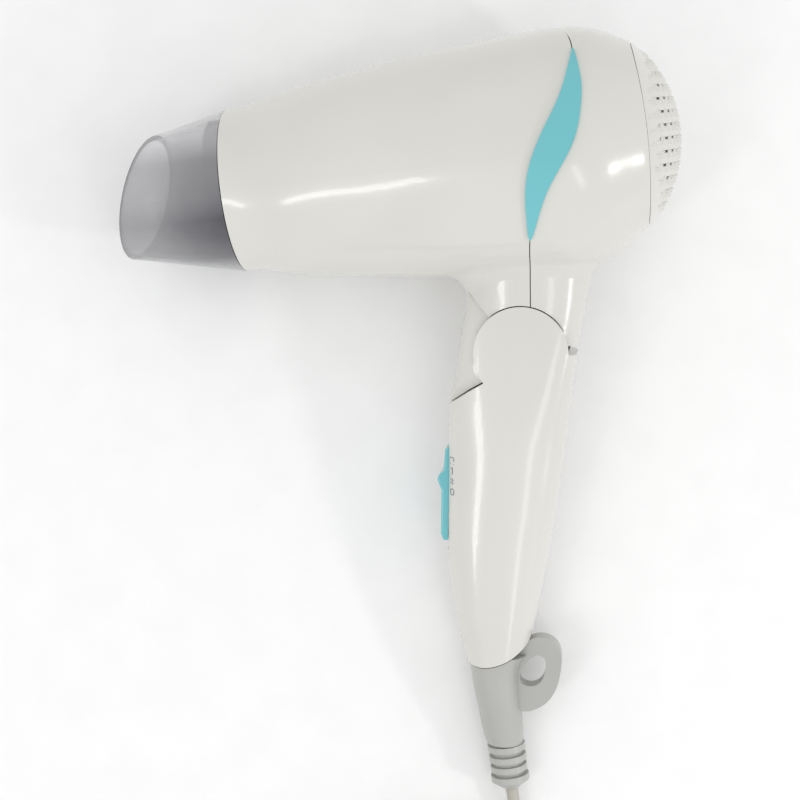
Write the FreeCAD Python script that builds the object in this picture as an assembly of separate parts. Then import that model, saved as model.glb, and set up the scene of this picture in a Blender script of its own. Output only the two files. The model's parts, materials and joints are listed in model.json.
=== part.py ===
import FreeCAD, Part
import math
import os

# Foldable hair dryer, lying on its left-hand side as it is put down on a table.
# It is drawn upright first: X to the rear, Y up the neck to the barrel, Z to the near side, with
# z = 0 the mid-plane.  lay_down() then tips it until nozzle, bulb and cord outlet rest on z = 0.

os.makedirs("parts", exist_ok=True)
V = FreeCAD.Vector
Z_AXIS = V(0, 0, 1)

# ---- driving dimensions, mm ----
WALL = 1.9                  # housing and handle walls
SEAM_GAP = 0.3              # gap that shows at a seam
RUN_GAP = 0.35              # clearance between pieces that move past each other
BODY_START = V(-89.8, 53.0, 0)          # barrel's front face on the air axis
BODY_RISE = 6.63            # degrees that the air axis climbs to the rear
# station along the air axis, outer radius, height of the section's centre above the axis
BODY_STATIONS = ((0, 26.1, 0), (17, 29.0, 0), (38, 32.0, 0), (57, 34.5, 0), (70, 35.8, 0),
                 (82, 36.6, 0), (94, 37.3, 0), (104, 37.7, 0.05), (111, 37.0, 0.45), (117, 35.2, 1.0),
                 (122, 32.7, 1.5), (127, 29.8, 1.8), (133, 24.4, 1.9))
GRILLE_R = 39.4             # radius of the intake dome
GRILLE_CENTRE = V(101.7, 1.9, 0)
RIM_R = 150.0               # the bulb's rear edge bows by a cylinder of this radius
RIM_S = 128.6               # where that edge crosses the mid-plane
GRILLE_T = 2.2
SKIRT_R = 24.8              # spigot of the grille inside the bulb
SLIT_PITCH = 4.0            # rows of slits in the grille
SLIT_H = 0.7

COLLAR_R = 22.0             # spigot that carries the nozzle
COLLAR_IN = 20.4
COLLAR_L = 6.0
NOZZLE_TAPER = 0.2167       # radius lost per mm forward
NOZZLE_WALL = 1.4
NOZZLE_L = 42.0
MOUTH_S = -31.4             # mouth plane crosses the air axis here
MOUTH_NORMAL = V(1, -0.31, 0.15)

HINGE = V(1.7, 2.0, 0)
DISC_R = 14.9               # knuckle discs of the handle
HUB_R = 14.2                # drum of the neck between them
HUB_HALF = 10.5
HUB_STEM = (-6, 9, 10, 27, -8, 8)
PIVOT_R = 4.5
PIVOT_FIT = 0.05
# half width of the neck's foot at each distance from the pivot: a turned form, so it can turn freely
FOOT_PROFILE = ((0, 11.2), (9, 11.2), (13, 10.9), (16, 10.3), (19, 9.3), (22, 7.9), (25, 6.0), (28.6, 3.2))
# height, front, rear, half width, squareness of each section
NECK_SECTIONS = ((-17, -21.6, 18.0, 11.6, 2.5), (-8, -20.3, 18.4, 12.0, 2.6), (0, -18.9, 19.0, 12.5, 2.7),
                 (8, -17.7, 20.0, 12.9, 2.7), (15, -16.5, 21.2, 13.2, 2.7), (22, -16.0, 22.6, 13.9, 2.5),
                 (30, -16.4, 24.4, 15.2, 2.3), (40, -17.0, 26.0, 17.0, 2.2))
NECK_BLEND = 7.0
HANDLE_SECTIONS = ((17, -19.0, 21.0, 13.4, 5.0), (8, -19.0, 20.2, 13.4, 5.0), (0, -19.4, 18.9, 13.4, 4.6),
                   (-8, -20.4, 17.8, 13.4, 4.0), (-16, -21.6, 16.8, 13.4, 3.3), (-24, -22.2, 15.9, 13.3, 2.8),
                   (-36, -22.4, 14.4, 13.1, 2.6), (-50, -22.8, 12.4, 12.8, 2.5),
                   (-64, -22.7, 10.1, 12.4, 2.4), (-78, -21.2, 7.5, 11.8, 2.4),
                   (-92, -18.4, 4.6, 11.0, 2.4), (-106, -14.9, 1.5, 10.0, 2.4))
# the S of the housing seam, the leaf over it, and the seam at the handle's end
SEAM_POINTS = ((11.0, 112), (13.8, 103.2), (16.9, 98), (17.9, 91), (15.2, 77), (11.0, 64), (7.2, 51),
               (5.4, 38.6), (4.9, 31), (4.8, 18), (4.8, 0), (4.8, -30))
LEAF_POINTS = ((17.6, 95.2), (16.1, 87.7), (14.0, 80.6), (10.8, 73.7), (7.5, 66.2), (5.4, 59.5),
               (4.5, 51.5), (4.7, 45.0), (5.5, 38.4), (7.9, 44.4), (11.5, 54.3), (14.9, 60.5),
               (18.4, 67.3), (20.4, 75.2), (20.9, 82.2), (19.8, 90.0))
LEAF_RISE = 0.9
END_SEAM = ((-30, -98.0), (-20, -99.2), (-15.4, -100.3), (-11.4, -100.9), (-7.2, -100.3), (-3.0, -98.7),
            (1.1, -95.9), (4.0, -92.8), (6.0, -88.5), (9.0, -80.0))
# switch
SLIDE_DIR = V(0.0296, 0.9996, 0)        # towards the hinge, along the handle's front
SLIDE_DOWN = 3.1
SLIDE_UP = 6.2
RECESS_X = -21.5            # flat that the slider rides on, at the middle of the slider
SLIDER_MID = -44.6
SLIDER_L = 30.2
SLIDER_HALF = 5.0
RECESS_HALF = 5.5
# strain relief
RELIEF_SECTIONS = ((-98, -16.7, 3.2, 10.6, 2.4), (-106, -14.9, 0.4, 9.8, 2.3), (-113, -13.7, 0.9, 8.9, 2.2),
                   (-118.5, -12.6, 1.4, 8.1, 2.1),
                   (-124, -11.6, 1.8, 7.3, 2.0), (-128.6, -9.9, 1.7, 6.2, 2.0))
LOOP_OUTLINE = ((-3.0, -99.0), (1.5, -95.0), (4.7, -92.6), (7.6, -92.0), (10.9, -92.8), (13.4, -95.1),
                (14.4, -98.5), (14.2, -103.3), (13.0, -108.4), (10.6, -112.9), (7.4, -115.6), (1.6, -117.0),
                (-4.0, -110.0))
LOOP_HOLE = ((0.9, -105.0), (2.6, -101.2), (4.9, -98.8), (6.9, -98.0), (8.6, -98.7), (9.3, -100.8),
             (9.0, -104.2), (7.8, -106.8), (5.7, -108.3), (3.2, -108.4), (1.2, -107.2))
LOOP_HALF = 3.1
BOOT_TOP = V(-4.0, -127.5, 0)
BOOT_DIR = V(0.118, -0.993, 0)
BOOT_RIBS = (2.6, 6.2, 9.6)
BOOT_END = 16.9
# cord, plug and put-away coil, in the frame of the table: from the cord outlet to the coil
CORD_D = 4.0
CORD_RUNS = (V(39.1, -133.6, 4.1), V(41.4, -144.5, 2.2), V(42.4, -156.0, 2.05), V(42.2, -168.0, 2.1))
PLUG_RUNS = (V(6.0, -198.2, 10.3), V(-4.0, -199.1, 11.2), V(-14.0, -199.5, 12.5))
COIL_CENTRE = V(12, -168, 0)
COIL_IN = 15.6
COIL_OUT = 33.0
COIL_H = 12.6
PIN_R = 2.4
PIN_L = 19.0
PIN_APART = 19.0
# the table plane's slope against the mid-plane: barrel, bulb and cord outlet rest on it
LEAN = V(0.100, 0.157, 1)


def at(shape, placement):
    moved = shape.copy()
    moved.Placement = placement.multiply(moved.Placement)
    return moved


BODY = FreeCAD.Placement(BODY_START, FreeCAD.Rotation(Z_AXIS, BODY_RISE))


def on_body(shape):
    """Move a shape drawn along the air axis (x = station) to its place."""
    return at(shape, BODY)


def mirror(shape):
    return shape.mirror(V(0, 0, 0), Z_AXIS)


def disc_wire(s, radius, height):
    return Part.Wire([Part.Circle(V(s, height, 0), V(1, 0, 0), radius).toShape()])


def body_loft(offset):
    return on_body(Part.makeLoft([disc_wire(s, r + offset, h) for s, r, h in BODY_STATIONS], True, False))


def tube(s0, s1, r_out, r_in, centre=(0, 0)):
    """A tube along the air axis, still in the axis' own frame."""
    base = V(s0, centre[0], centre[1])
    outer = Part.makeCylinder(r_out, s1 - s0, base, V(1, 0, 0))
    if r_in <= 0:
        return outer
    return outer.cut(Part.makeCylinder(r_in, s1 - s0 + 2, base - V(1, 0, 0), V(1, 0, 0)))


def section(height, front, rear, half, squareness, inset=0.0):
    """A rounded section across the handle: a superellipse."""
    mid = (front + rear) / 2
    a = (rear - front) / 2 - inset
    b = half - inset
    points = []
    for i in range(28):
        t = 2 * math.pi * i / 28
        c = math.cos(t)
        s = math.sin(t)
        x = mid + a * math.copysign(abs(c) ** (2 / squareness), c)
        z = b * math.copysign(abs(s) ** (2 / squareness), s)
        points.append(V(x, height, z))
    curve = Part.BSplineCurve()
    curve.interpolate(points, True)
    return Part.Wire([curve.toShape()])


def section_loft(sections, inset=0.0):
    return Part.makeLoft([section(*row, inset=inset) for row in sections], True, False)


def polygon(points, z0, z1):
    wire = Part.makePolygon([V(x, y, z0) for x, y in list(points) + [points[0]]])
    return Part.Face(wire).extrude(V(0, 0, z1 - z0))


def outline(points, z0, z1):
    """A prism with a smooth closed outline."""
    curve = Part.BSplineCurve()
    curve.interpolate([V(x, y, z0) for x, y in points], True)
    return Part.Face(Part.Wire([curve.toShape()])).extrude(V(0, 0, z1 - z0))


def beside_curve(points, shift, far):
    """The region on one side of a smooth open curve, which is first shifted; far closes it."""
    moved = [V(x + shift[0], y + shift[1], -60) for x, y in points]
    curve = Part.BSplineCurve()
    curve.interpolate(moved)
    corners = [moved[-1]] + [V(x, y, -60) for x, y in far] + [moved[0]]
    edges = [curve.toShape()] + [Part.LineSegment(a, b).toShape() for a, b in zip(corners, corners[1:])]
    return Part.Face(Part.Wire(edges)).extrude(V(0, 0, 120))


def turned(profile, extra_width=0.0, extra_radius=0.0):
    """The solid that a half-width profile sweeps about the pivot."""
    rim = profile[-1][0] + extra_radius
    upper = [V(r, 0, w + extra_width) for r, w in profile[:-1]]
    upper.append(V(rim, 0, profile[-1][1] + extra_width))
    lower = [V(p.x, 0, -p.z) for p in reversed(upper)]
    wire = Part.makePolygon(upper + lower + [upper[0]])
    return at(Part.Face(wire).revolve(V(0, 0, 0), Z_AXIS, 360), FreeCAD.Placement(HINGE, FreeCAD.Rotation()))


def about_hinge(radius, z0, z1):
    return Part.makeCylinder(radius, z1 - z0, HINGE + V(0, 0, z0), Z_AXIS)


def box(x0, x1, y0, y1, z0, z1):
    return Part.makeBox(x1 - x0, y1 - y0, z1 - z0, V(x0, y0, z0))


def fuse(shapes):
    joined = shapes[0].multiFuse(shapes[1:])
    return joined.removeSplitter()


def rod(start, end, radius):
    return Part.makeCylinder(radius, (end - start).Length, start, end - start)


# ---- housing ----
def rim_cylinder(extra):
    """Everything behind the bulb's rear edge."""
    base = V(RIM_S + RIM_R, -80, 0)
    return on_body(Part.makeCylinder(RIM_R + extra, 160, base, V(0, 1, 0)))


def housing_outside():
    """Barrel, bulb and neck; the neck's foot stays inside the turned form where the handle sweeps."""
    whole = body_loft(0).fuse(section_loft(NECK_SECTIONS))
    crease = [e for e in whole.Edges if 20 < e.BoundBox.YMin and e.BoundBox.YMax < 34 and e.Length > 50]
    whole = whole.makeFillet(NECK_BLEND, crease)
    kept = polygon(((60, 4.4), (15.0, 4.2), (0, 2), (-10.1, -7.0), (-15.0, -9.9), (-21.5, -14.6),
                    (-60, -14.6), (-200, 20), (-200, 140), (60, 140)), -60, 60)
    free = polygon(((HINGE.x, HINGE.y), (60, HINGE.y + 1.5), (60, 140), (-200, 140), (-200, 21),
                    (-14.8, 21)), -60, 60)
    free = free.cut(about_hinge(DISC_R + RUN_GAP, -60, 60))
    allowed = fuse([turned(FOOT_PROFILE), free])
    return whole.common(kept).common(allowed).cut(about_hinge(HUB_R, -60, 60))


def housing_inside():
    barrel = body_loft(-WALL).cut(on_body(tube(-5, 3, 60, 0)))
    neck = section_loft([row for row in NECK_SECTIONS if row[0] >= 15], inset=2.2)
    return barrel.fuse(neck)


def make_housing():
    outside = housing_outside().cut(on_body(tube(-1, 5, COLLAR_IN, 0)))
    inside = housing_inside().fuse(box(*HUB_STEM))
    front_side = beside_curve(SEAM_POINTS, (-SEAM_GAP / 2, 0), ((-200, -30), (-200, 112)))
    rear_side = beside_curve(SEAM_POINTS, (SEAM_GAP / 2, 0), ((200, -30), (200, 112)))
    collar = on_body(tube(-COLLAR_L, 0.5, COLLAR_R, COLLAR_IN))
    ledge = on_body(tube(121.5, 124.5, 60, SKIRT_R, (GRILLE_CENTRE.y, 0))).common(body_loft(-WALL))
    front = outside.common(front_side).cut(inside).fuse(collar)
    rear = outside.common(rear_side).cut(rim_cylinder(0)).cut(inside).fuse(ledge)
    return {"front_housing": front, "rear_housing": rear}


def make_leaves():
    leaf = outline(LEAF_POINTS, 10, 50).common(body_loft(LEAF_RISE)).cut(body_loft(0))
    return {"trim_leaf_left": leaf, "trim_leaf_right": mirror(leaf)}


# ---- intake ----
def dome(radius):
    return on_body(Part.makeSphere(radius, GRILLE_CENTRE))


def make_intake():
    shell = dome(GRILLE_R).cut(dome(GRILLE_R - GRILLE_T)).common(rim_cylinder(-SEAM_GAP))
    skirt = tube(122, 132.5, SKIRT_R, SKIRT_R - 1.5, (GRILLE_CENTRE.y, 0))
    grille = fuse([shell, on_body(skirt).common(dome(GRILLE_R - 0.5))])
    slits = []
    for row in range(-5, 6):
        y = (row + 0.5) * SLIT_PITCH
        half = math.sqrt(max(21.5 ** 2 - y ** 2, 0))
        if half < 4:
            continue
        for side in (-1, 1):
            low = min(side * 1.0, side * half)
            slits.append(on_body(Part.makeBox(14, SLIT_H, half - 1.0,
                                              V(130, GRILLE_CENTRE.y + y - SLIT_H / 2, low))))
    grille = grille.cut(Part.makeCompound(slits))
    inside = on_body(tube(120, 145, SKIRT_R - 1.5, 0, (GRILLE_CENTRE.y, 0)))
    mesh = dome(GRILLE_R - GRILLE_T).cut(dome(GRILLE_R - GRILLE_T - 0.4)).common(inside)
    mesh = mesh.common(on_body(tube(126, 145, 60, 0)))
    return {"rear_grille": grille, "intake_mesh": mesh}


# ---- nozzle ----
def cone(s0, s1, shrink):
    r0 = BODY_STATIONS[0][1] + NOZZLE_TAPER * s0 - shrink
    r1 = BODY_STATIONS[0][1] + NOZZLE_TAPER * s1 - shrink
    return Part.makeCone(r0, r1, s1 - s0, V(s0, 0, 0), V(1, 0, 0))


def make_nozzle():
    back = -SEAM_GAP
    solid = cone(-NOZZLE_L, back, 0)
    bore = tube(-COLLAR_L - 0.4, 1, COLLAR_R + RUN_GAP + 1.0, 0)
    solid = solid.cut(cone(-NOZZLE_L - 1, -COLLAR_L - 0.4, NOZZLE_WALL)).cut(bore)
    cutter = Part.makeBox(80, 160, 160, V(-80, -80, -80))
    cutter.Placement = FreeCAD.Placement(V(MOUTH_S, 0, 0), FreeCAD.Rotation(V(1, 0, 0), MOUTH_NORMAL))
    return {"nozzle": on_body(solid.cut(cutter)),
            "nozzle_snap_ring": on_body(tube(-COLLAR_L + 0.2, -0.6, COLLAR_R + 1.0, COLLAR_R + 0.3))}


def make_outlet_grille():
    parts = [tube(0, 2.5, COLLAR_IN, 18.8), tube(0, 2, 13.6, 12.6), tube(0, 2, 7.4, 6.4)]
    for k in range(6):
        spoke = Part.makeBox(2, 13.0, 1.0, V(0, 6.8, -0.5))
        spoke.rotate(V(0, 0, 0), V(1, 0, 0), 60 * k + 30)
        parts.append(spoke)
    return {"outlet_grille": on_body(fuse(parts))}


# ---- heater, motor and fan ----
MICA_R = 23.0
COIL_R = 12.7
WIRE_R = 0.6
CAN_R = 13.2
SHAFT_R = 1.0
SHAFT_FIT = 0.06


def make_heater():
    boards = []
    for turn in (0, 90):
        board = fuse([box(6, 10, -MICA_R + 0.05, MICA_R - 0.05, -0.4, 0.4),
                      box(10, 50, -COIL_R + WIRE_R, COIL_R - WIRE_R, -0.4, 0.4),
                      box(50, 54, -MICA_R + 0.05, MICA_R - 0.05, -0.4, 0.4)])
        board.rotate(V(0, 0, 0), V(1, 0, 0), turn)
        boards.append(board)
    turns = [Part.makeTorus(COIL_R, WIRE_R, V(12 + 3 * k, 0, 0), V(1, 0, 0)) for k in range(13)]
    return {"mica_tube": on_body(tube(3, 58, MICA_R + 0.5, MICA_R)),
            "mica_frame": on_body(fuse(boards)),
            "heater_coil": on_body(Part.makeCompound(turns)),
            "thermostat": on_body(box(24, 34, 0.4, 8.5, 0.4, 7)),
            "thermal_fuse": on_body(Part.makeCylinder(1.5, 12, V(24, -5, -5), V(1, 0, 0)))}


def make_motor():
    inner_wall = body_loft(-WALL)
    flange = on_body(tube(66, 70, 60, 31.9)).common(inner_wall)
    vanes = [on_body(tube(70, 90, 33.2, 31.9)), on_body(tube(68, 90, CAN_R + 1.2, CAN_R))]
    for k in range(7):
        vane = Part.makeBox(18, 18.4, 1.2, V(69.5, CAN_R + 0.6, -0.6))
        vane.rotate(V(79, 0, 0), V(0, 1, 0), 14)
        vane.rotate(V(0, 0, 0), V(1, 0, 0), 360 * k / 7)
        vanes.append(on_body(vane))
    blades = [tube(93, 105, 9.0, 0)]
    for k in range(9):
        blade = Part.makeBox(1.4, 23.5, 13, V(-0.7, 7.5, -6.5))
        blade.rotate(V(0, 0, 0), V(0, 1, 0), 50)
        blade.translate(V(99, 0, 0))
        blade.rotate(V(0, 0, 0), V(1, 0, 0), 40 * k)
        blades.append(blade)
    fan = fuse(blades).cut(tube(90, 110, SHAFT_R, 0))
    return {"motor_holder": fuse([flange] + vanes),
            "motor_can": on_body(tube(62, 90, CAN_R, SHAFT_R + SHAFT_FIT)),
            "motor_endcap": on_body(tube(59, 62, 11.5, SHAFT_R + SHAFT_FIT)),
            "motor_shaft": on_body(tube(58.5, 106, SHAFT_R, 0)),
            "fan": on_body(fan)}


# ---- hinge ----
def make_hinge():
    drum = about_hinge(HUB_R, -HUB_HALF, HUB_HALF)
    stem = box(*HUB_STEM)
    bore = about_hinge(PIVOT_R + PIVOT_FIT, -30, 30)
    pocket = Part.makeCylinder(2.0, 5.2, HINGE + V(0, PIVOT_R + 1.0, 0), V(0, 1, 0))
    hub = fuse([drum, stem]).cut(bore).cut(pocket)
    spring = Part.makeCylinder(1.9, 5.2, HINGE + V(0, PIVOT_R + 1.0, 0), V(0, 1, 0))
    spring = spring.cut(Part.makeCylinder(1.1, 5.2, HINGE + V(0, PIVOT_R + 1.0, 0), V(0, 1, 0)))
    wires = [rod(V(12.5, 19, z), V(12.5, 31, z), 1.0) for z in (-3.2, 0, 3.2)]
    return {"hinge_hub": hub, "detent_spring": spring, "neck_wires": Part.makeCompound(wires)}


# ---- handle ----
def below_end_seam(shift):
    return beside_curve(END_SEAM, (0, shift), ((60, -80), (60, -160), (-60, -160), (-60, -98)))


def recess(clear):
    """The flat and the slot that the slider needs in the handle's front."""
    length = SLIDER_L + SLIDE_DOWN + SLIDE_UP + 2 * clear
    top = SLIDER_MID + SLIDER_L / 2 + SLIDE_UP + clear
    flat = box(-20, 0, -length, 0, -RECESS_HALF, RECESS_HALF)
    slot = box(-1, 6, -length + 13, -10.1, -2.3, 2.3)
    tilt = math.degrees(math.atan2(SLIDE_DIR.x, SLIDE_DIR.y))
    x_top = RECESS_X + SLIDE_DIR.x * (top - SLIDER_MID)
    return at(fuse([flat, slot]), FreeCAD.Placement(V(x_top, top, 0), FreeCAD.Rotation(Z_AXIS, -tilt)))


BOSSES = (V(5.0, -31.5, 0), V(1.0, -76.0, 0))
BOSS_R = 3.2
SCREW_R = 1.5
SCREW_HEAD_R = 2.8


def make_handle():
    outside = section_loft(HANDLE_SECTIONS)
    inside = section_loft([row for row in HANDLE_SECTIONS if row[0] <= -24], inset=2.0)
    side = polygon(((30, 1.4), (18.4, 1.4), (13.0, 2.0), (0, 2), (-10.3, -7.5), (-15.2, -10.4),
                    (-21.9, -15.1), (-40, -15.1), (-40, -120), (30, -120)), -60, 60)
    kept = fuse([side, about_hinge(DISC_R, -60, 60)])
    back = math.radians(295)
    back_wall = polygon(((HINGE.x, HINGE.y), (HINGE.x + 60 * math.cos(back), HINGE.y + 60 * math.sin(back)),
                         (60, -60), (60, HINGE.y + 0.5)), -60, 60).cut(about_hinge(DISC_R - 0.2, -60, 60))
    cavity = turned(FOOT_PROFILE, RUN_GAP, RUN_GAP).cut(back_wall)
    throat = box(-13, 10, -34, -12, -9.5, 9.5)
    shell = outside.common(kept).cut(cavity).cut(inside).cut(throat).cut(below_end_seam(0.15))
    shell = shell.cut(recess(0.35))
    halves = {}
    for name, low in (("handle_left", 0), ("handle_right", -60)):
        half = shell.common(box(-60, 60, -160, 40, low, low + 60))
        pivot = Part.makeCylinder(PIVOT_R, 11.9, HINGE + V(0, 0, 0.1 if low == 0 else -12.0), Z_AXIS)
        deep = V(0, 0, 0 if low == 0 else -12.0)
        posts = [Part.makeCylinder(BOSS_R, 12.0, p + deep, Z_AXIS).common(outside) for p in BOSSES]
        halves[name] = fuse([half, pivot] + posts)
    screws = []
    for post in BOSSES:
        shank = Part.makeCylinder(SCREW_R, 19, post + V(0, 0, -10.4), Z_AXIS)
        head = Part.makeCylinder(SCREW_HEAD_R, 1.6, post + V(0, 0, -12.0), Z_AXIS)
        screws.append(fuse([shank, head]))
        well = Part.makeCylinder(SCREW_HEAD_R, 6, post + V(0, 0, -10.4 - 6), Z_AXIS)
        hole = Part.makeCylinder(SCREW_R, 19, post + V(0, 0, -10.4), Z_AXIS)
        halves["handle_right"] = halves["handle_right"].cut(well).cut(hole)
        halves["handle_left"] = halves["handle_left"].cut(hole)
    halves["handle_screws"] = Part.makeCompound(screws)
    wires = [rod(V(-8, -88, z), V(-6, -63, z), 1.0) for z in (-3.2, 0, 3.2)]
    halves["handle_wires"] = Part.makeCompound(wires)
    clamp = box(-11, -1, -96, -91, -5, 5).cut(box(-7, -3, -97, -90, -2, 2))
    halves["cord_clamp"] = clamp
    return halves


# ---- switch ----
def make_switch():
    tilt = math.degrees(math.atan2(SLIDE_DIR.x, SLIDE_DIR.y))
    place = FreeCAD.Placement(V(RECESS_X, SLIDER_MID, 0), FreeCAD.Rotation(Z_AXIS, -tilt))
    half = SLIDER_L / 2
    points = [V(-RUN_GAP, -half, 0), V(-RUN_GAP, half, 0), V(-1.9, half, 0), V(-2.4, 7.6, 0),
              V(-3.9, 6.0, 0), V(-4.2, 4.6, 0), V(-2.9, 1.2, 0), V(-2.7, -half + 2.0, 0), V(-1.9, -half, 0)]
    face = Part.Face(Part.makePolygon(points + [points[0]]))
    slab = face.extrude(V(0, 0, 2 * SLIDER_HALF))
    slab.translate(V(0, 0, -SLIDER_HALF))
    slab = slab.makeFillet(0.6, [e for e in slab.Edges if e.BoundBox.XMax < -1.0])
    stem = box(-1, 2.4, -2, 5, -1.9, 1.9)
    carriage = box(2.4, 3.6, -5, 8, -4, 4)
    body = box(4.2, 14, -16, 13, -7, 7)
    return {"switch_slider": at(fuse([slab, stem]), place),
            "switch_carriage": at(carriage, place),
            "switch_body": at(body, place)}


# ---- strain relief ----
def boot_disc(s0, s1, r0, r1):
    if abs(r0 - r1) < 1e-6:
        return Part.makeCylinder(r0, s1 - s0, BOOT_TOP + BOOT_DIR * s0, BOOT_DIR)
    return Part.makeCone(r0, r1, s1 - s0, BOOT_TOP + BOOT_DIR * s0, BOOT_DIR)


def make_relief():
    skin = section_loft(RELIEF_SECTIONS)
    loop = outline(LOOP_OUTLINE, -LOOP_HALF, LOOP_HALF)
    hole = outline(LOOP_HOLE, -30, 30)
    lower = fuse([skin, loop]).common(below_end_seam(-0.15)).cut(hole)
    inner = section_loft([row for row in HANDLE_SECTIONS if row[0] < -64], inset=2.8)
    spigot = inner.common(box(-40, 40, -104, -97, -40, 40))
    boot = [boot_disc(-2, 12, 4.9, 4.9), boot_disc(12, 14, 6.3, 6.3), boot_disc(14, BOOT_END, 6.3, 2.4)]
    boot += [boot_disc(s - 1.0, s + 1.0, 6.3 - 0.03 * s, 6.3 - 0.03 * s) for s in BOOT_RIBS]
    return {"strain_relief": fuse([lower, spigot] + boot)}


# ---- cord, coil and plug, in the frame of the table ----
def cord_tube(points, name):
    """Straight runs joined by arcs that touch them, swept with the cord's round section."""
    edges = []
    start = points[0]
    for a, b, c in zip(points, points[1:], points[2:]):
        before = (a - b).normalize()
        after = (c - b).normalize()
        turn = math.pi - before.getAngle(after)
        reach = 0.45 * min((a - b).Length, (c - b).Length)
        radius = reach / math.tan(turn / 2)
        print(name, "arc radius", round(radius, 1))
        enter = b + before * reach
        leave = b + after * reach
        middle = b + (before + after).normalize() * (radius / math.cos(turn / 2) - radius)
        edges.append(Part.LineSegment(start, enter).toShape())
        edges.append(Part.Arc(enter, middle, leave).toShape())
        start = leave
    edges.append(Part.LineSegment(start, points[-1]).toShape())
    path = Part.Wire(edges)
    circle = Part.Circle(points[0], points[1] - points[0], CORD_D / 2).toShape()
    swept = path.makePipeShell([Part.Wire([circle])], True, True)
    print(name, "length", round(path.Length, 1), "volume ratio",
          round(swept.Volume / (path.Length * math.pi * CORD_D ** 2 / 4), 4))
    return swept


def make_plug():
    tail = PLUG_RUNS[-1]
    stations = ((0, 3.2, 3.2), (8, 4.6, 4.4), (15, 10.5, 8.6), (22, 17.0, 11.6), (30, 18.2, 12.4),
                (46, 17.6, 12.2))
    rings = []
    for back, half_y, half_z in stations:
        oval = Part.Ellipse(V(0, 0, 0), max(half_y, half_z + 0.01), half_z)
        ring = oval.toShape()
        ring.rotate(V(0, 0, 0), V(1, 0, 0), 90)
        ring.rotate(V(0, 0, 0), V(0, 0, 1), 90)
        ring.translate(V(tail.x - back, tail.y, tail.z))
        rings.append(Part.Wire([ring]))
    body = Part.makeLoft(rings, True, False).cut(rod(PLUG_RUNS[-2], PLUG_RUNS[-1], CORD_D / 2))
    front = tail - V(46, 0, 0)
    pins = [Part.makeCylinder(PIN_R, PIN_L, front + V(0, k * PIN_APART / 2, 0), V(-1, 0, 0)) for k in (-1, 1)]
    return {"plug_body": body, "plug_pins": Part.makeCompound(pins)}


def make_cord(outlet):
    coil = Part.makeCylinder(COIL_OUT, COIL_H, COIL_CENTRE)
    coil = coil.cut(Part.makeCylinder(COIL_IN, COIL_H, COIL_CENTRE))
    lead = cord_tube([outlet] + list(CORD_RUNS), "lead")
    tail = cord_tube(list(PLUG_RUNS), "tail")
    band = Part.makeBox(COIL_OUT - COIL_IN + 1.8, 6.0, COIL_H + 0.9,
                        COIL_CENTRE + V(-COIL_OUT - 0.9, -3.0, 0)).cut(coil)
    return {"mains_cord": Part.makeCompound([lead, tail]), "cord_coil": coil, "cord_tie": band}


# ---- put it down and write it out ----
def mesh_box(shapes):
    points = [p for shape in shapes for p in shape.tessellate(0.1)[0]]
    low = V(min(p.x for p in points), min(p.y for p in points), min(p.z for p in points))
    high = V(max(p.x for p in points), max(p.y for p in points), max(p.z for p in points))
    return low, high


def main():
    upright = {}
    for make in (make_housing, make_leaves, make_intake, make_nozzle, make_outlet_grille, make_heater,
                 make_motor, make_hinge, make_handle, make_switch, make_relief):
        upright.update(make())
    tip = FreeCAD.Placement(V(0, 0, 0), FreeCAD.Rotation(LEAN, Z_AXIS))
    low, high = mesh_box([at(shape, tip) for shape in upright.values()])
    shift = V(-(low.x + high.x) / 2, -(low.y + high.y) / 2, -low.z)
    lay = FreeCAD.Placement(shift, FreeCAD.Rotation()).multiply(tip)
    nodes = {name: at(shape, lay) for name, shape in upright.items()}
    outlet = lay.multVec(BOOT_TOP + BOOT_DIR * BOOT_END)
    nodes.update(make_cord(outlet))
    nodes.update(make_plug())
    for name, shape in nodes.items():
        if not shape.isValid():
            print("NOT VALID", name)
        shape.exportStep("parts/" + name + ".step")
    turn = lay.Rotation
    along = BODY.Rotation.multVec(V(1, 0, 0))
    print("shift", shift, "quaternion", turn.Q)
    print("outlet", outlet, "direction", turn.multVec(BOOT_DIR))
    print("hinge", lay.multVec(HINGE), "across", turn.multVec(Z_AXIS))
    print("air axis start", lay.multVec(BODY_START), "along", turn.multVec(along))
    print("slide", turn.multVec(SLIDE_DIR))
    print(len(nodes), "nodes")


main()
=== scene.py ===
import json
import math

import bmesh
import bpy
from mathutils import Matrix, Vector
from mathutils.bvhtree import BVHTree


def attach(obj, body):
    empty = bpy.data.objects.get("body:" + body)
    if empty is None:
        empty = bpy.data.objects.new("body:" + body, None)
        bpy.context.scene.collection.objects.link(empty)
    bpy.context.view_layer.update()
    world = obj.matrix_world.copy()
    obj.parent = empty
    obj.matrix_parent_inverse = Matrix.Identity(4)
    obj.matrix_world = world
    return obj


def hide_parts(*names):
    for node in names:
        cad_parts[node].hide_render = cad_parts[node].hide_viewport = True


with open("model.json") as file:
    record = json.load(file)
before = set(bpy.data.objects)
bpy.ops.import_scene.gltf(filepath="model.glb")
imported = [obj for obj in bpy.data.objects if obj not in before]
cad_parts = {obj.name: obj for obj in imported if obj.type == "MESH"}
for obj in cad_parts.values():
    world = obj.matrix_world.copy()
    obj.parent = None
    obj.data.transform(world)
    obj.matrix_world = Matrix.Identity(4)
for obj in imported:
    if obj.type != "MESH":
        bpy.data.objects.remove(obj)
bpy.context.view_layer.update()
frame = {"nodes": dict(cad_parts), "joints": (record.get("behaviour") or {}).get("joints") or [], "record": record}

MM = 0.001


# ---- directions of the dryer, from the joints ----
def joint(name):
    return next(j for j in frame["joints"] if j["name"] == name)


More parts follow.
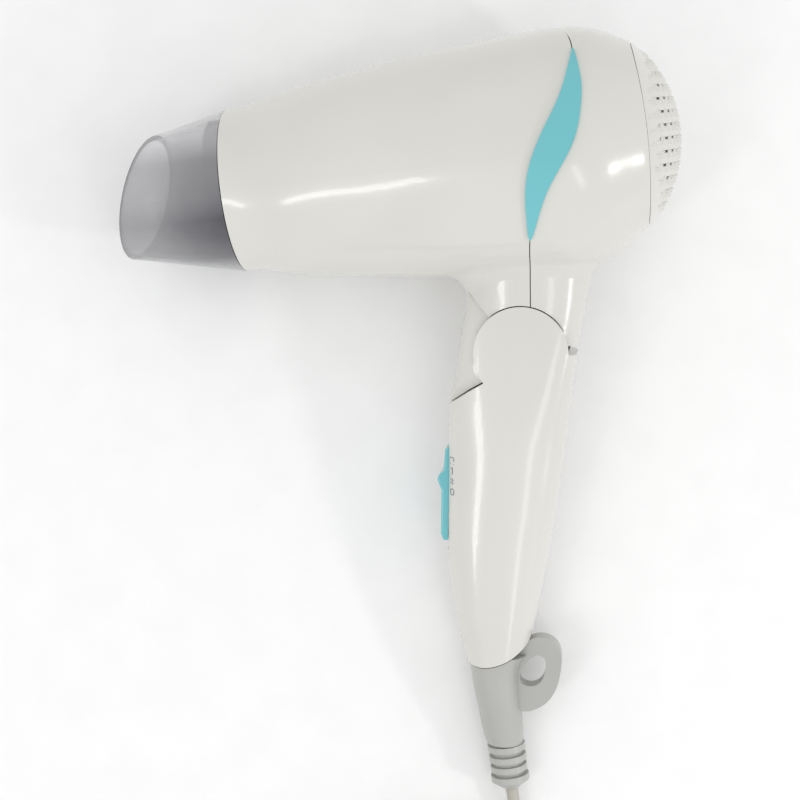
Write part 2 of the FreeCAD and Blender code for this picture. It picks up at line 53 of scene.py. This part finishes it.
ALONG = Vector(joint("nozzle_twist")["axis"]).normalized()          # air axis, to the rear
ACROSS = -Vector(joint("handle_fold")["axis"]).normalized()         # to the near side
UP = ACROSS.cross(ALONG).normalized()                               # from the handle to the barrel
TWIST_AHEAD = 3                                                     # mm from the joint to station 0
AIR_START = Vector(joint("nozzle_twist")["pos_m"]) + TWIST_AHEAD * MM * ALONG
HINGE = Vector(joint("handle_fold")["pos_m"])


def air(s, r, w):
    """A point at station s on the air axis, r above it and w to the near side, in mm."""
    return AIR_START + MM * (s * ALONG + r * UP + w * ACROSS)


# ---- materials ----
BUMP_DEPTH = 0.0002
COAT_ROUGH = 0.06
TONE_SCALE = 22


def new_material(name):
    material = bpy.data.materials.new(name)
    material.use_nodes = True
    nodes = material.node_tree.nodes
    return material, nodes, material.node_tree.links, nodes["Principled BSDF"]


def noise(nodes, links, scale, detail=3.0):
    coords = nodes.new("ShaderNodeTexCoord")
    texture = nodes.new("ShaderNodeTexNoise")
    texture.inputs["Scale"].default_value = scale
    texture.inputs["Detail"].default_value = detail
    links.new(coords.outputs["Object"], texture.inputs["Vector"])
    return texture


def spread(nodes, links, source, low, high, socket):
    """Feed a texture into a socket between two values."""
    ramp = nodes.new("ShaderNodeMapRange")
    ramp.inputs["From Min"].default_value = 0.3
    ramp.inputs["From Max"].default_value = 0.7
    ramp.inputs["To Min"].default_value = low
    ramp.inputs["To Max"].default_value = high
    links.new(source, ramp.inputs["Value"])
    links.new(ramp.outputs["Result"], socket)


def tinted(nodes, links, source, dark, light, socket):
    ramp = nodes.new("ShaderNodeValToRGB")
    ramp.color_ramp.elements[0].position = 0.35
    ramp.color_ramp.elements[0].color = (*dark, 1)
    ramp.color_ramp.elements[1].position = 0.65
    ramp.color_ramp.elements[1].color = (*light, 1)
    links.new(source, ramp.inputs["Fac"])
    links.new(ramp.outputs["Color"], socket)


def bumped(nodes, links, source, shader, strength, distance):
    bump = nodes.new("ShaderNodeBump")
    bump.inputs["Strength"].default_value = strength
    bump.inputs["Distance"].default_value = distance
    links.new(source, bump.inputs["Height"])
    links.new(bump.outputs["Normal"], shader.inputs["Normal"])


def surfaced(name, rough, coat=0.0, ripple=0.02, grain=900):
    """A material with uneven gloss and a slight ripple, and no colour yet."""
    material, nodes, links, shader = new_material(name)
    fine = noise(nodes, links, grain, 3.0)
    spread(nodes, links, fine.outputs["Fac"], rough * 0.8, rough * 1.25, shader.inputs["Roughness"])
    bumped(nodes, links, fine.outputs["Fac"], shader, ripple, BUMP_DEPTH)
    shader.inputs["Coat Weight"].default_value = coat
    shader.inputs["Coat Roughness"].default_value = COAT_ROUGH
    return material, nodes, links, shader


def moulded(name, dark, light, rough, coat=0.0, ripple=0.02, grain=900):
    """Injection-moulded plastic: the surface above with a slight change of tone."""
    material, nodes, links, shader = surfaced(name, rough, coat, ripple, grain)
    broad = noise(nodes, links, TONE_SCALE, 2.0)
    tinted(nodes, links, broad.outputs["Fac"], dark, light, shader.inputs["Base Color"])
    return material


def ramp(nodes, links, source, stops):
    """Grey value from a source through a list of (position, grey)."""
    node = nodes.new("ShaderNodeValToRGB")
    while len(node.color_ramp.elements) < len(stops):
        node.color_ramp.elements.new(0.5)
    for element, (place, grey) in zip(node.color_ramp.elements, stops):
        element.position = place
        element.color = (grey, grey, grey, 1)
    links.new(source, node.inputs["Fac"])
    return node.outputs["Color"]


def math_node(nodes, links, operation, first, second):
    node = nodes.new("ShaderNodeMath")
    node.operation = operation
    for socket, value in zip(node.inputs, (first, second)):
        if isinstance(value, float):
            socket.default_value = value
        else:
            links.new(value, socket)
    return node.outputs["Value"]


def distance_along(nodes, links, origin, direction, low, high):
    """0 to 1 as the point goes from low to high mm along a direction from an origin."""
    coords = nodes.new("ShaderNodeTexCoord")
    offset = nodes.new("ShaderNodeVectorMath")
    offset.operation = "SUBTRACT"
    offset.inputs[1].default_value = origin
    dot = nodes.new("ShaderNodeVectorMath")
    dot.operation = "DOT_PRODUCT"
    dot.inputs[1].default_value = direction
    links.new(coords.outputs["Object"], offset.inputs[0])
    links.new(offset.outputs["Vector"], dot.inputs[0])
    scaled = nodes.new("ShaderNodeMapRange")
    scaled.inputs["From Min"].default_value = low * MM
    scaled.inputs["From Max"].default_value = high * MM
    links.new(dot.outputs["Value"], scaled.inputs["Value"])
    return scaled.outputs["Result"]


def smoke_plastic():
    """Clear smoky plastic with painted shade: the barrel's dark inside, seen through the nozzle, is painted in as
    darker, more opaque plastic by the barrel and below the axis; light at the mouth and along the top.
    """
    material, nodes, links, shader = surfaced("smoke_plastic", 0.13, 0.5, 0.03, 1400)
    reach = distance_along(nodes, links, AIR_START, ALONG, *SMOKE_REACH)
    height = distance_along(nodes, links, AIR_START, UP, *SMOKE_HEIGHT)
    by_reach = ramp(nodes, links, reach, PAINTED_SHADE_BY_REACH)
    by_height = ramp(nodes, links, height, PAINTED_SHADE_BY_HEIGHT)
    # painted shade: darker and more opaque towards the barrel and below the axis, standing in for the barrel's
    # dark inside seen through the nozzle
    painted_shade_and_tint = math_node(nodes, links, "MULTIPLY", by_reach, by_height)
    behind_mouth = distance_along(nodes, links, MOUTH, MOUTH_NORMAL, -0.5, 0.5)
    edge = ramp(nodes, links, behind_mouth, MOUTH_EDGE)
    painted_shade_and_tint = math_node(nodes, links, "MAXIMUM", painted_shade_and_tint, edge)
    streaks = noise(nodes, links, 45, 4.0)
    uneven = math_node(nodes, links, "MULTIPLY", streaks.outputs["Fac"], 2 * STREAK)
    centred = math_node(nodes, links, "SUBTRACT", uneven, STREAK)
    painted_shade_and_tint = math_node(nodes, links, "ADD", painted_shade_and_tint, centred)
    tint = nodes.new("ShaderNodeMix")
    tint.data_type = "RGBA"
    links.new(painted_shade_and_tint, tint.inputs["Factor"])
    tint.inputs[6].default_value = SMOKE_CLEAR
    tint.inputs[7].default_value = SMOKE_SHADE_AND_RIM
    links.new(tint.outputs[2], shader.inputs["Base Color"])
    solid = nodes.new("ShaderNodeMapRange")
    solid.inputs["To Min"].default_value = ALPHA_CLEAR
    solid.inputs["To Max"].default_value = ALPHA_SHADE_AND_RIM
    links.new(painted_shade_and_tint, solid.inputs["Value"])
    links.new(solid.outputs["Result"], shader.inputs["Alpha"])
    return material


MOUTH = air(-31.4, 0, 0)                                            # where the mouth plane meets the axis
MOUTH_NORMAL = (ALONG - 0.31 * UP + 0.15 * ACROSS).normalized()
SMOKE_REACH = (-40, 4)                                              # mm along the axis
SMOKE_HEIGHT = (-28, 28)                                            # mm up from the axis
# colour and opacity run from clear smoke to a dark end, which the painted shade of the barrel's inside and the
# mouth rim reach
SMOKE_CLEAR = (0.74, 0.74, 0.76, 1)
SMOKE_SHADE_AND_RIM = (0.05, 0.05, 0.065, 1)
ALPHA_CLEAR = 0.36
ALPHA_SHADE_AND_RIM = 0.88
STREAK = 0.12
# darkness at each share of a distance: the mouth rim's own dark edge, and the painted shade of the barrel's dark
# inside by reach and by height
MOUTH_EDGE = ((0.0, 0.95), (0.60, 0.95), (0.85, 0.0))
PAINTED_SHADE_BY_REACH = ((0.0, 0.62), (0.35, 0.62), (0.62, 0.84), (1.0, 1.0))
PAINTED_SHADE_BY_HEIGHT = ((0.05, 0.35), (0.14, 0.90), (0.36, 1.0), (0.50, 0.76), (0.70, 0.62), (0.86, 0.0))


def metal(name, dark, light, rough):
    material = moulded(name, dark, light, rough, 0.0, 0.1, 600)
    material.node_tree.nodes["Principled BSDF"].inputs["Metallic"].default_value = 1.0
    return material


WHITE = moulded("white_plastic", (0.665, 0.655, 0.615), (0.695, 0.685, 0.645), 0.20, 0.35)
TEAL = moulded("teal_plastic", (0.14, 0.49, 0.54), (0.155, 0.525, 0.575), 0.18, 0.4)
SMOKE = smoke_plastic()
RELIEF = moulded("relief_grey", (0.41, 0.41, 0.39), (0.45, 0.45, 0.43), 0.36, 0.1, 0.12, 1100)
CORD = moulded("cord_white", (0.43, 0.415, 0.365), (0.47, 0.455, 0.405), 0.38, 0.0, 0.12, 1300)
BLACK = moulded("black_plastic", (0.018, 0.018, 0.02), (0.028, 0.028, 0.03), 0.45, 0.0, 0.15, 1200)
MICA = moulded("mica", (0.45, 0.38, 0.24), (0.60, 0.53, 0.38), 0.35, 0.0, 0.3, 260)
WIRES = moulded("copper_wires", (0.45, 0.04, 0.03), (0.52, 0.06, 0.05), 0.4)
STEEL = metal("steel", (0.50, 0.50, 0.50), (0.60, 0.60, 0.60), 0.3)
HEATER = metal("heater_wire", (0.30, 0.28, 0.26), (0.42, 0.39, 0.36), 0.4)
MESH = metal("mesh_steel", (0.30, 0.29, 0.28), (0.38, 0.37, 0.36), 0.5)
PINS = metal("brass_pins", (0.66, 0.66, 0.64), (0.74, 0.74, 0.72), 0.22)
INK = moulded("ink", (0.10, 0.13, 0.15), (0.14, 0.17, 0.19), 0.5)
BY_SLOT = {"white_plastic": WHITE, "teal_plastic": TEAL, "smoke_plastic": SMOKE, "relief_grey": RELIEF,
           "cord_white": CORD, "black_plastic": BLACK, "mica": MICA, "copper_wires": WIRES, "steel": STEEL,
           "heater_wire": HEATER, "mesh_steel": MESH, "brass_pins": PINS}


def paint_cad_nodes():
    for row in frame["record"]["subparts"]:
        node = frame["nodes"][row["node"]]
        for material_slot in node.material_slots:
            material_slot.material = BY_SLOT[row["material_slot"]]


# ---- making pieces ----
def mesh_piece(name, bm, material, body, smooth=True):
    mesh = bpy.data.meshes.new(name)
    bm.normal_update()
    bm.to_mesh(mesh)
    bm.free()
    for face in mesh.polygons:
        face.use_smooth = smooth
    piece = bpy.data.objects.new(name, mesh)
    bpy.context.collection.objects.link(piece)
    mesh.materials.append(material)
    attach(piece, body)
    return piece


DOME_R = 39.4
DOME_S = 101.7
DOME_UP = 1.9
ROW_PITCH = 4.0
CUT_RISE = 0.75
CUT_SINK = 0.1
FACET_REACH = 24.4                                                  # radius that the facets cover
SLIT_ROOM = 0.42                                                    # kept clear on one side of a slit


def dome_point(y, z, radius):
    return air(DOME_S + math.sqrt(radius ** 2 - y ** 2 - z ** 2), DOME_UP + y, z)


def add_facets(bm, corners):
    """A low pyramid over some corners on the dome."""
    base = [bm.verts.new(dome_point(a, b, DOME_R - CUT_SINK)) for a, b in corners]
    middle = [sum(corner[i] for corner in corners) / len(corners) for i in (0, 1)]
    tip = bm.verts.new(dome_point(*middle, DOME_R + CUT_RISE))
    for i in range(len(base)):
        bm.faces.new((base[i], base[(i + 1) % len(base)], tip))
    bm.faces.new(list(reversed(base)))


def grille_facets():
    """Cut-glass facets on the intake dome: diamonds between the slits, and small ones that bridge the slits."""
    bm = bmesh.new()
    half = ROW_PITCH / 2
    tall = half * 0.98
    for row in range(-12, 13):
        y = row * half
        on_slit = row % 2 == 1
        for column in range(-6, 7):
            z = column * ROW_PITCH + (half if on_slit else 0)
            if math.hypot(y, z) > FACET_REACH:
                continue
            if on_slit:
                low = y - SLIT_ROOM
                bridge = z - half
                add_facets(bm, [(y - 0.8, bridge), (y, bridge + 1.1), (y + 0.8, bridge), (y, bridge - 1.1)])
                add_facets(bm, [(low, z - half * 0.6), (low, z + half * 0.6), (y - 1.4, z)])
            else:
                add_facets(bm, [(y, z - half), (y + tall, z), (y, z + half), (y - tall, z)])
    bmesh.ops.recalc_face_normals(bm, faces=bm.faces)
    return mesh_piece("grille_facets", bm, WHITE, "housing", smooth=False)


# ---- marks beside the switch ----
TILT = math.radians(6.63)                                           # of the air axis when the grip is upright
FORWARD = math.cos(TILT) * ALONG - math.sin(TILT) * UP
UPRIGHT = math.sin(TILT) * ALONG + math.cos(TILT) * UP
HINGE_X = 1.7
HINGE_Y = 2.0


def beside_grip(x, y, z):
    """A point given in mm with the grip upright: x to the rear, y up, z to the near side."""
    return HINGE + MM * ((x - HINGE_X) * FORWARD + (y - HINGE_Y) * UPRIGHT + z * ACROSS)


MARK_X = -20.5
MARK_H = 2.2
MARK_W = 1.3
STROKE = 0.13                                                       # half width of a stroke
INK_RISE = 0.04
OUTSIDE = 30                                                        # mm, clear of the grip's side
# strokes of each mark in a box one wide and one high
TWO = ((0, 0.85), (0.25, 1), (0.75, 1), (1, 0.8), (0.95, 0.55), (0, 0), (1, 0))
ONE = ((0.2, 0.8), (0.55, 1), (0.55, 0))
ZERO = ((0.5, 1), (0.95, 0.75), (0.95, 0.25), (0.5, 0), (0.05, 0.25), (0.05, 0.75), (0.5, 1))
COOL = (((0.5, 0), (0.5, 1)), ((0, 0.25), (1, 0.75)), ((0, 0.75), (1, 0.25)))
MARKS = ((-33.1, (TWO,)), (-36.4, (ONE,)), (-39.8, COOL), (-43.2, (ZERO,)))


def switch_marks():
    """Printed marks: thin strokes laid on the grip's near side."""
    shell = frame["nodes"]["handle_left"]
    surface = BVHTree.FromObject(shell, bpy.context.evaluated_depsgraph_get())
    local = shell.matrix_world.inverted()
    turn = local.to_3x3()
    bm = bmesh.new()
    for middle, strokes in MARKS:
        for stroke in strokes:
            for (a, b), (c, d) in zip(stroke, stroke[1:]):
                start = Vector((MARK_X + (a - 0.5) * MARK_W, middle + (b - 0.5) * MARK_H))
                end = Vector((MARK_X + (c - 0.5) * MARK_W, middle + (d - 0.5) * MARK_H))
                side = Vector((start.y - end.y, end.x - start.x)).normalized() * STROKE
                quad = []
                for flat in (start - side, end - side, end + side, start + side):
                    above = beside_grip(flat.x, flat.y, OUTSIDE)
                    hit, normal = surface.ray_cast(local @ above, turn @ -ACROSS)[:2]
                    quad.append(shell.matrix_world @ (hit + normal * INK_RISE * MM))
                bm.faces.new([bm.verts.new(point) for point in quad])
    return mesh_piece("switch_marks", bm, INK, "handle", smooth=False)


# ---- cord ----
CORD_D = 4.0
OUTLET = (37.37, -122.08, 5.83)
CORD_RUNS = ((39.1, -133.6, 4.1), (41.4, -144.5, 2.2), (42.4, -156.0, 2.05), (42.2, -168.0, 2.1))
PLUG_RUNS = ((-4.0, -199.1, 13.6), (-14.0, -199.5, 12.5))
COIL_CENTRE = (12.0, -168.0)
COIL_PITCH = 4.15
COIL_OUT_R = 30.2
COIL_ACROSS = 4
LAYER_TURNS = 4.0
TOP_TURNS = 2.55
CROSS_TURNS = 0.7
STEPS = 16


def coil_points():
    """Wound inwards on the table, outwards on top of that, inwards again, then across to the plug."""
    inner = COIL_OUT_R - (COIL_ACROSS - 1) * COIL_PITCH
    total = 2 * LAYER_TURNS + TOP_TURNS + CROSS_TURNS
    points = []
    for i in range(1, int(total * STEPS) + 1):
        t = i / STEPS
        layer = min(int(t / LAYER_TURNS), 2)
        within = t - layer * LAYER_TURNS
        span = (COIL_ACROSS - 1) * COIL_PITCH * min(within / (LAYER_TURNS - 0.6), 1.0)
        radius = inner + span if layer == 1 else COIL_OUT_R - span
        height = CORD_D / 2 + 0.05 + layer * COIL_PITCH
        if layer > 0:
            height -= COIL_PITCH * max(0.0, 1 - within / 0.4)
        if within > LAYER_TURNS:
            radius = COIL_OUT_R
        crossing = t - (2 * LAYER_TURNS + TOP_TURNS)
        if crossing > 0:
            share = crossing / CROSS_TURNS
            radius += (COIL_OUT_R - radius) * share * share * (3 - 2 * share)
            height += COIL_PITCH * min(1.0, 3 * share)
        angle = -2 * math.pi * t
        x = COIL_CENTRE[0] + radius * math.cos(angle)
        y = COIL_CENTRE[1] + radius * math.sin(angle)
        points.append((x, y, height))
    return points


def mains_cord():
    route = [OUTLET] + list(CORD_RUNS) + coil_points() + list(PLUG_RUNS)
    curve = bpy.data.curves.new("mains_cord", "CURVE")
    curve.dimensions = "3D"
    curve.bevel_depth = CORD_D / 2 * MM
    curve.bevel_resolution = 5
    spline = curve.splines.new("NURBS")
    spline.points.add(len(route) - 1)
    for point, place in zip(spline.points, route):
        point.co = (*[MM * c for c in place], 1)
    spline.order_u = 3
    spline.use_endpoint_u = True
    spline.resolution_u = 4
    piece = bpy.data.objects.new("mains_cord_line", curve)
    bpy.context.collection.objects.link(piece)
    curve.materials.append(CORD)
    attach(piece, "handle")
    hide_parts("mains_cord", "cord_coil")
    return piece


# ---- room, light and camera ----
FLOOR_DARK = (0.93, 0.93, 0.93)
FLOOR_LIGHT = (0.95, 0.95, 0.95)


def floor():
    bpy.ops.mesh.primitive_plane_add(size=6.0, location=(0, 0, 0))
    plane = bpy.context.object
    plane.name = "floor"
    material, nodes, links, shader = new_material("floor_paper")
    grain = noise(nodes, links, 60, 2.0)
    tinted(nodes, links, grain.outputs["Fac"], FLOOR_DARK, FLOOR_LIGHT, shader.inputs["Base Color"])
    shader.inputs["Roughness"].default_value = 0.9
    plane.data.materials.append(material)


LIGHT_AIM = Vector((0.02, -0.02, 0.03))


def softbox(name, shape, place, size, power):
    data = bpy.data.lights.new(name, "AREA")
    data.shape = shape
    data.size = size[0]
    data.size_y = size[1]
    data.energy = power
    light = bpy.data.objects.new(name, data)
    light.location = place
    light.rotation_euler = (LIGHT_AIM - Vector(place)).to_track_quat("-Z", "Y").to_euler()
    bpy.context.collection.objects.link(light)


def studio():
    world = bpy.data.worlds.new("studio")
    bpy.context.scene.world = world
    world.use_nodes = True
    back = world.node_tree.nodes["Background"]
    back.inputs["Color"].default_value = (1, 1, 1, 1)
    back.inputs["Strength"].default_value = 0.90
    softbox("key", "DISK", (0.951, -0.317, 0.592), (0.10, 0.10), 1.7)
    softbox("right_strip", "RECTANGLE", (0.36, -0.52, 0.96), (0.12, 0.50), 0.5)
    softbox("left_strip", "RECTANGLE", (-0.53, -0.41, 0.90), (0.10, 0.40), 0.9)


CAMERA = Matrix(((0.99957, -0.00249, 0.02932, 0.01761), (0.00267, 0.99998, -0.00604, 0.00265),
                 (-0.02931, 0.00611, 0.99955, 0.60762), (0, 0, 0, 1)))


def camera():
    data = bpy.data.cameras.new("camera")
    data.sensor_width = 36.0
    data.lens = 81.36
    data.clip_start = 0.01
    eye = bpy.data.objects.new("camera", data)
    bpy.context.collection.objects.link(eye)
    eye.matrix_world = CAMERA
    bpy.context.scene.camera = eye
    render = bpy.context.scene.render
    render.resolution_x = 800
    render.resolution_y = 800


paint_cad_nodes()
grille_facets()
switch_marks()
mains_cord()
floor()
studio()
camera()
bpy.context.scene.view_settings.view_transform = "Standard"
